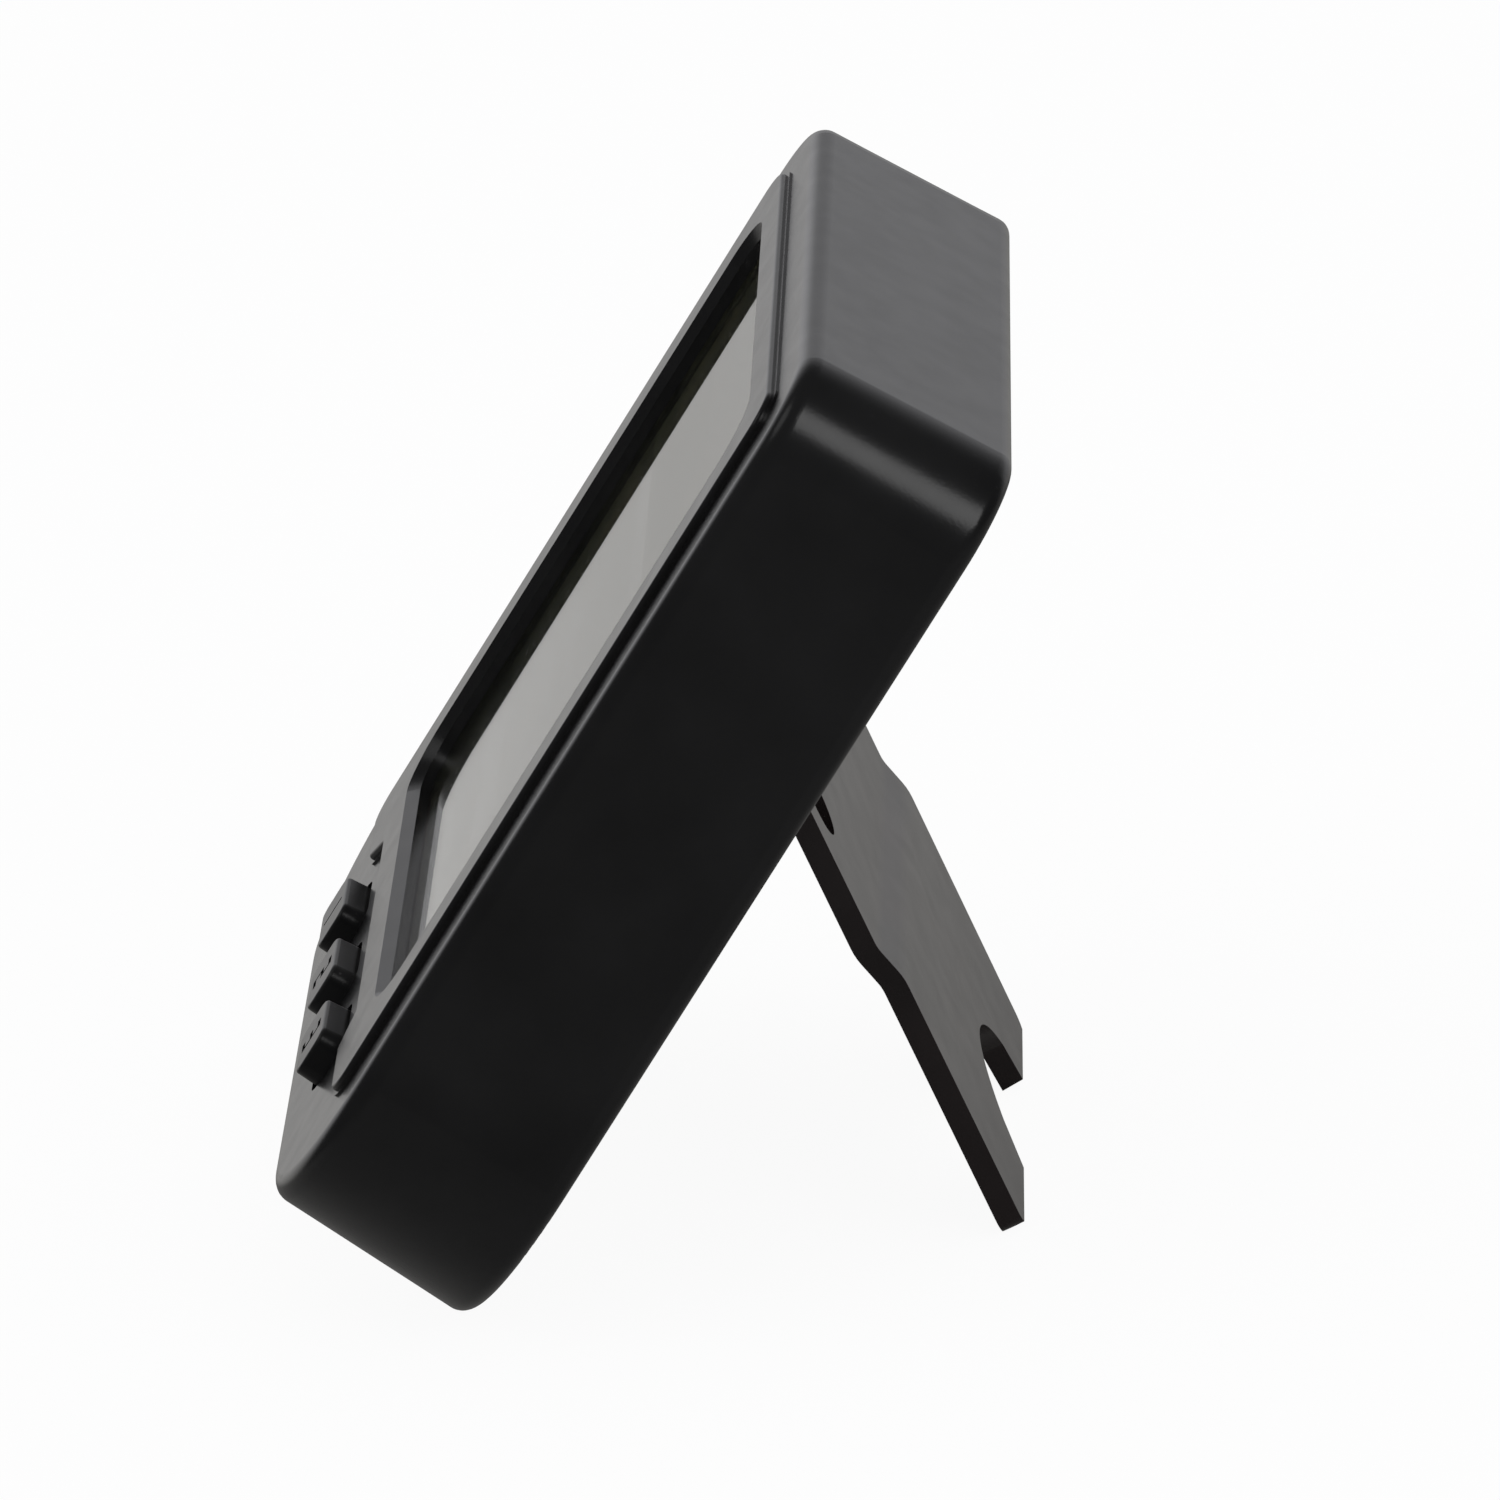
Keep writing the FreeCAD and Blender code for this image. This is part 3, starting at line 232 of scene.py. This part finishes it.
def clear(name, tint, roughness, ior, dust=0.0):
    """Clear plastic or glass that lets the lamps through, with faint dust and wipe marks."""
    made, tree = new_tree(name)
    wipe = noise(tree, 1.6 * MM, detail=5, stretch=(0.35, 1, 1), offset=0.9)
    specs = specks(tree, 0.45 * MM, 0.02 + dust * 0.1)
    rough = node(tree, "ShaderNodeMath", {
        0: spread(tree, wipe, roughness, roughness * 1.8), 1: times(tree, specs, dust)},
        operation="ADD").outputs[0]
    shader = node(tree, "ShaderNodeBsdfPrincipled", {
        "Base Color": tint, "Roughness": rough, "IOR": ior, "Transmission Weight": 1.0})
    opening = node(tree, "ShaderNodeBsdfTransparent", {"Color": tint})
    lamp = node(tree, "ShaderNodeLightPath").outputs["Is Shadow Ray"]
    both = node(tree, "ShaderNodeMixShader", {0: lamp, 1: shader.outputs[0], 2: opening.outputs[0]})
    node(tree, "ShaderNodeOutputMaterial", {"Surface": both.outputs[0]})
    return made


def board_material():
    """Green solder mask over copper tracks, with a woven laminate showing faintly."""
    made, tree = new_tree("solder_mask")
    grid = node(tree, "ShaderNodeTexBrick", {
        "Vector": place(tree), "Scale": 1.0, "Mortar Size": 0.28 * MM, "Brick Width": 6 * MM,
        "Row Height": 1.9 * MM, "Mortar Smooth": 0.2}).outputs["Fac"]
    weave = noise(tree, 0.5 * MM, detail=1, stretch=(0.3, 1, 1))
    mask = blend_colours(tree, spread(tree, weave, 0, 1), (0.006, 0.07, 0.022, 1),
                         (0.009, 0.10, 0.032, 1))
    tone = blend_colours(tree, grid, mask, (0.03, 0.17, 0.05, 1))
    return finish_material(made, tree, Base_Color=tone,
                           Roughness=spread(tree, weave, 0.24, 0.36),
                           Normal=bump(tree, grid, 0.03 * MM))


def wound(name, colour, along, pitch):
    """Wire wound in close turns: ridges a wire apart along one axis, with painted shade in the grooves
    between them.
    """
    made, tree = new_tree(name)
    turns = node(tree, "ShaderNodeTexWave", {
        "Vector": place(tree), "Scale": math.pi / 10 / pitch, "Distortion": 0.4, "Detail": 1.0},
        bands_direction=along).outputs["Fac"]
    # Darker between the turns: painted shade in the grooves between wires.
    tone = blend_colours(tree, turns, shade(colour, 0.35), colour)
    return finish_material(made, tree, Base_Color=tone, Metallic=0.7,
                           Roughness=spread(tree, turns, 0.42, 0.28),
                           Normal=bump(tree, turns, 0.08 * MM))


def cell_material(name, low, high):
    """A dry cell: a dark jacket with one bare band, and plated steel at both ends."""
    made, tree = new_tree(name)
    x = node(tree, "ShaderNodeSeparateXYZ", {0: place(tree)}).outputs["X"]
    centre, half = (low + high) / 2, (high - low) / 2
    off = node(tree, "ShaderNodeMath", {
        0: node(tree, "ShaderNodeMath", {0: x, 1: centre}, operation="SUBTRACT").outputs[0]},
        operation="ABSOLUTE").outputs[0]
    ends = spread(tree, off, 0, 1, start=half - 1.7 * MM, end=half - 1.6 * MM)
    band = spread(tree, x, 0, 1, start=high - half * 0.62, end=high - half * 0.615)
    print_grain = spread(tree, noise(tree, 2 * MM, detail=4), 0.85, 1.0)
    jacket = blend_colours(tree, band, (0.028, 0.033, 0.04, 1), (0.36, 0.22, 0.09, 1))
    jacket = blend_colours(tree, print_grain, grey(0.02), jacket)
    tone = blend_colours(tree, ends, jacket, (0.66, 0.66, 0.67, 1))
    return finish_material(made, tree, Base_Color=tone, Metallic=spread(tree, ends, 0.45, 1, 0, 1),
                           Roughness=spread(tree, ends, 0.3, 0.26, 0, 1))


def display_film():
    """The display's front film: grey-green, with the faint cloudiness of a reflective display."""
    made, tree = new_tree("display_film")
    cloud = noise(tree, 9 * MM, detail=5, offset=4.2)
    fleck = noise(tree, 0.22 * MM, detail=1, offset=2.2)
    tone = blend_colours(tree, spread(tree, cloud, 0, 1), (0.058, 0.06, 0.03, 1),
                         (0.068, 0.07, 0.037, 1))
    tone = blend_colours(tree, spread(tree, fleck, 0, 0.25), tone, (0.086, 0.088, 0.05, 1))
    stain = noise(tree, 16 * MM, detail=3, offset=7.7)
    tone = blend_colours(tree, spread(tree, stain, 0, 0.8, start=0.52, end=0.72), tone,
                         (0.1, 0.082, 0.034, 1))
    return finish_material(made, tree, Base_Color=tone, Specular_IOR_Level=0.3,
                           Roughness=spread(tree, cloud, 0.16, 0.24),
                           Normal=bump(tree, fleck, 0.0012 * MM))


def dress():
    """Gives every CAD node its material."""
    case = moulded("case_abs", (0.0078, 0.0078, 0.0079), 0.24, specular=0.5, depth=0.007 * MM,
                   dust=0.1)
    # The stand's warm film on its upward faces is partly dust and partly painted sheen.
    stand = moulded("stand_abs", (0.0145, 0.0115, 0.0112), 0.25, specular=0.5, grain=0.35 * MM,
                    dust=0.8, dust_and_sheen_colour=(0.25, 0.175, 0.17, 1), rubbed=42 * MM)
    # The light film on the key tops is partly dust and partly painted sheen.
    key = moulded("key_rubber", (0.006, 0.006, 0.0062), 0.3, specular=0.5, grain=0.22 * MM,
                  depth=0.006 * MM, dust=0.9)
    mat = moulded("mat_rubber", (0.02, 0.02, 0.021), 0.6, specular=0.3)
    carbon = moulded("pill_carbon", (0.012, 0.012, 0.012), 0.5)
    white = moulded("frame_white", (0.72, 0.72, 0.69), 0.5, mottle=0.05)
    strip = moulded("strip_rubber", (0.42, 0.2, 0.2), 0.55, mottle=0.1)
    epoxy = moulded("chip_epoxy", (0.018, 0.018, 0.019), 0.42, grain=0.1 * MM, depth=0.005 * MM)
    ceramic = moulded("ceramic", (0.11, 0.095, 0.085), 0.35, mottle=0.12)
    ferrite = moulded("ferrite", (0.035, 0.035, 0.04), 0.45, grain=0.2 * MM, depth=0.01 * MM)
    sleeve = moulded("capacitor_sleeve", (0.02, 0.03, 0.11), 0.28, mottle=0.1)
    film_box = moulded("film_capacitor", (0.32, 0.035, 0.02), 0.25, mottle=0.1)
    buzzer = moulded("buzzer_plastic", (0.013, 0.013, 0.013), 0.4)
    insulator = moulded("tube_insulator", (0.74, 0.7, 0.6), 0.22, mottle=0.04)
    brass = metal("brass", (0.72, 0.48, 0.17, 1), 0.3)
    tube = metal("tube_steel", (0.56, 0.56, 0.57, 1), 0.28, stretch=(1, 1, 0.05))
    can = metal("can_metal", (0.66, 0.66, 0.68, 1), 0.26)
    contact = metal("contact_steel", (0.72, 0.71, 0.68, 1), 0.24)
    wire = metal("anode_wire", (0.5, 0.5, 0.52, 1), 0.2)
    screw = metal("screw_black", (0.06, 0.06, 0.065, 1), 0.36, tarnish=0.35)
    board_screw = metal("screw_zinc", (0.6, 0.6, 0.6, 1), 0.3)
    looks = {
        "front_housing": case, "rear_cover": case, "battery_door": case, "stand_leg": stand,
        "key_1": key, "key_2": key, "key_3": key, "keypad_mat": mat,
        "contact_pill_1": carbon, "contact_pill_2": carbon, "contact_pill_3": carbon,
        "display_lens": clear("lens_clear", (0.94, 0.95, 0.93, 1), 0.015, 1.49, dust=0.12),
        "lcd_front_film": display_film(),
        "lcd_front_glass": clear("lcd_glass_front", (0.86, 0.9, 0.84, 1), 0.02, 1.52),
        "lcd_rear_glass": clear("lcd_glass_rear", (0.82, 0.87, 0.8, 1), 0.02, 1.52),
        "lcd_reflector": moulded("lcd_reflector", (0.34, 0.35, 0.3), 0.5, mottle=0.06),
        "lcd_frame": white, "elastomer_strip": strip, "main_board": board_material(),
        "microcontroller": epoxy, "crystal": can, "chip_resistors": ceramic,
        "buzzer_case": buzzer, "buzzer_disc": brass, "transformer_core": ferrite,
        "transformer_winding": wound("enamelled_wire", (0.55, 0.2, 0.06, 1), "Z", 0.3 * MM),
        "bulk_capacitor": sleeve, "film_capacitors": film_box,
        "gm_tube_body": tube, "gm_tube_plugs": insulator, "gm_tube_caps": contact,
        "gm_tube_anode": wire, "tube_clips": contact,
        "battery_springs": contact, "battery_bridge": contact, "battery_terminals": contact,
        "case_screws": screw, "board_screws": board_screw,
    }
    for cell in ("battery_1", "battery_2"):
        low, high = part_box(cell)
        looks[cell] = cell_material(cell + "_jacket", low.x, high.x)
    for name, piece in nodes.items():
        piece.data.materials.clear()
        piece.data.materials.append(looks[name])


# ------------------------------------------------------------------ floor, room and lamps
FLOOR_RADIUS = 4
FLOOR_WHITE = 0.94          # share of plain white in what the camera sees; the rest keeps the shadow


def add_floor():
    """Pale paper under the device, hidden from gloss, which mirrors the room's own table."""
    mesh = bpy.data.meshes.new("floor")
    work = bmesh.new()
    bmesh.ops.create_circle(work, cap_ends=True, radius=FLOOR_RADIUS, segments=64)
    work.to_mesh(mesh)
    work.free()
    floor = bpy.data.objects.new("floor", mesh)
    bpy.context.scene.collection.objects.link(floor)
    made, tree = new_tree("floor_paper")
    grain = noise(tree, 2.5 * MM, detail=2)
    tone = blend_colours(tree, spread(tree, grain, 0, 1), grey(0.86), grey(0.88))
    paper = node(tree, "ShaderNodeBsdfDiffuse", {"Color": tone})
    white = node(tree, "ShaderNodeEmission", {"Strength": 1.0})
    path = node(tree, "ShaderNodeLightPath")
    seen = times(tree, path.outputs["Is Camera Ray"], FLOOR_WHITE)
    both = node(tree, "ShaderNodeMixShader", {0: seen, 1: paper.outputs[0], 2: white.outputs[0]})
    node(tree, "ShaderNodeOutputMaterial", {"Surface": both.outputs[0]})
    mesh.materials.append(made)
    floor.visible_glossy = False


AMBIENT = 0.8               # what matt surfaces get from every side

# Brightness of the room that gloss mirrors.
BACKDROP = 0.54
BACKDROP_LOWER = 0.6        # the backdrop's foot, as a share of the rest
BACKDROP_FRONT = 1.5        # its end towards the front of the device
TABLE_LEFT = 0.14
TABLE_RIGHT = 0.06
ROOM_DIM = 0.045
WARM = (1.0, 0.985, 0.96, 1)
COOL = (0.97, 0.97, 1.0, 1)

# Where its parts fade into each other, along the x, y or z of a mirrored ray's direction.
TABLE_EDGE_Z = (-0.3, -0.22)
BACKDROP_FOOT_Z = (-0.25, 0.15)
BACKDROP_TOP_Z = (0.12, 0.75)
BACKDROP_FRONT_Y = (-0.26, -0.1)
BACKDROP_SIDE_X = (-0.66, -0.42)
TABLE_X = (-0.3, 0.4)
TINT_Z = (-0.16, 0.06)


def add_room():
    """White to the camera and even to every matt surface. In gloss and glass it is a studio: a
    lit backdrop on the left that ends overhead, a dim table, and a dark room elsewhere."""
    world = bpy.data.worlds.new("room")
    world.use_nodes = True
    tree = world.node_tree
    tree.nodes.clear()
    way = node(tree, "ShaderNodeTexCoord").outputs["Generated"]
    split = node(tree, "ShaderNodeSeparateXYZ", {0: way})
    x, y, z = split.outputs["X"], split.outputs["Y"], split.outputs["Z"]
    above = spread(tree, z, 0, 1, *TABLE_EDGE_Z)
    slope = times(tree, spread(tree, z, BACKDROP_LOWER, 1, *BACKDROP_FOOT_Z),
                  spread(tree, y, BACKDROP_FRONT, 1, *BACKDROP_FRONT_Y))
    low = spread(tree, z, 1, 0, *BACKDROP_TOP_Z)
    left = spread(tree, x, 1, 0, *BACKDROP_SIDE_X)
    lit = times(tree, times(tree, above, low), times(tree, times(tree, left, slope), BACKDROP))
    table = times(tree, spread(tree, z, 1, 0, *TABLE_EDGE_Z),
                  spread(tree, x, TABLE_LEFT, TABLE_RIGHT, *TABLE_X))
    studio = node(tree, "ShaderNodeMath", {0: lit, 1: table}, operation="ADD").outputs[0]
    studio = node(tree, "ShaderNodeMath", {0: studio, 1: ROOM_DIM}, operation="ADD").outputs[0]
    path = node(tree, "ShaderNodeLightPath")
    matt = node(tree, "ShaderNodeMath", {0: path.outputs["Diffuse Depth"], 1: 0.5},
                operation="GREATER_THAN").outputs[0]
    level = node(tree, "ShaderNodeMix", {0: matt, 2: studio, 3: AMBIENT}).outputs[0]
    level = node(tree, "ShaderNodeMix", {
        0: path.outputs["Is Camera Ray"], 2: level, 3: 1.0}).outputs[0]
    tint = blend_colours(tree, spread(tree, z, 0, 1, *TINT_Z), WARM, COOL)
    tint = blend_colours(tree, path.outputs["Is Camera Ray"], tint, grey(1.0))
    light = node(tree, "ShaderNodeBackground", {"Color": tint, "Strength": level})
    node(tree, "ShaderNodeOutputWorld", {"Surface": light.outputs[0]})
    world.cycles.sampling_method = "NONE"
    bpy.context.scene.world = world


# Each lamp's direction from the device, its distance and width in metres, and its radiance.
SOFTBOXES = {
    "softbox_right": ((0.684, 0.535, 0.496), 1.3, 0.68, 2.3),
    "softbox_left": ((0.1, -0.62, 0.78), 1.6, 0.85, 0.66),
}


def add_lamp(name, direction, distance, size, radiance):
    """A round softbox that faces the device's middle."""
    middle = (cad_box[0] + cad_box[1]) / 2
    data = bpy.data.lights.new(name, "AREA")
    data.shape, data.size = "DISK", size
    data.energy = radiance * math.pi * math.pi * (size / 2) ** 2
    lamp = bpy.data.objects.new(name, data)
    out = Vector(direction).normalized()
    lamp.location = middle + out * distance
    lamp.rotation_mode = "QUATERNION"
    lamp.rotation_quaternion = out.to_track_quat("Z", "Y")
    bpy.context.scene.collection.objects.link(lamp)


add_camera()
dress()
add_floor()
add_room()
for softbox, settings in SOFTBOXES.items():
    add_lamp(softbox, *settings)
bpy.context.scene.view_settings.view_transform = "Standard"
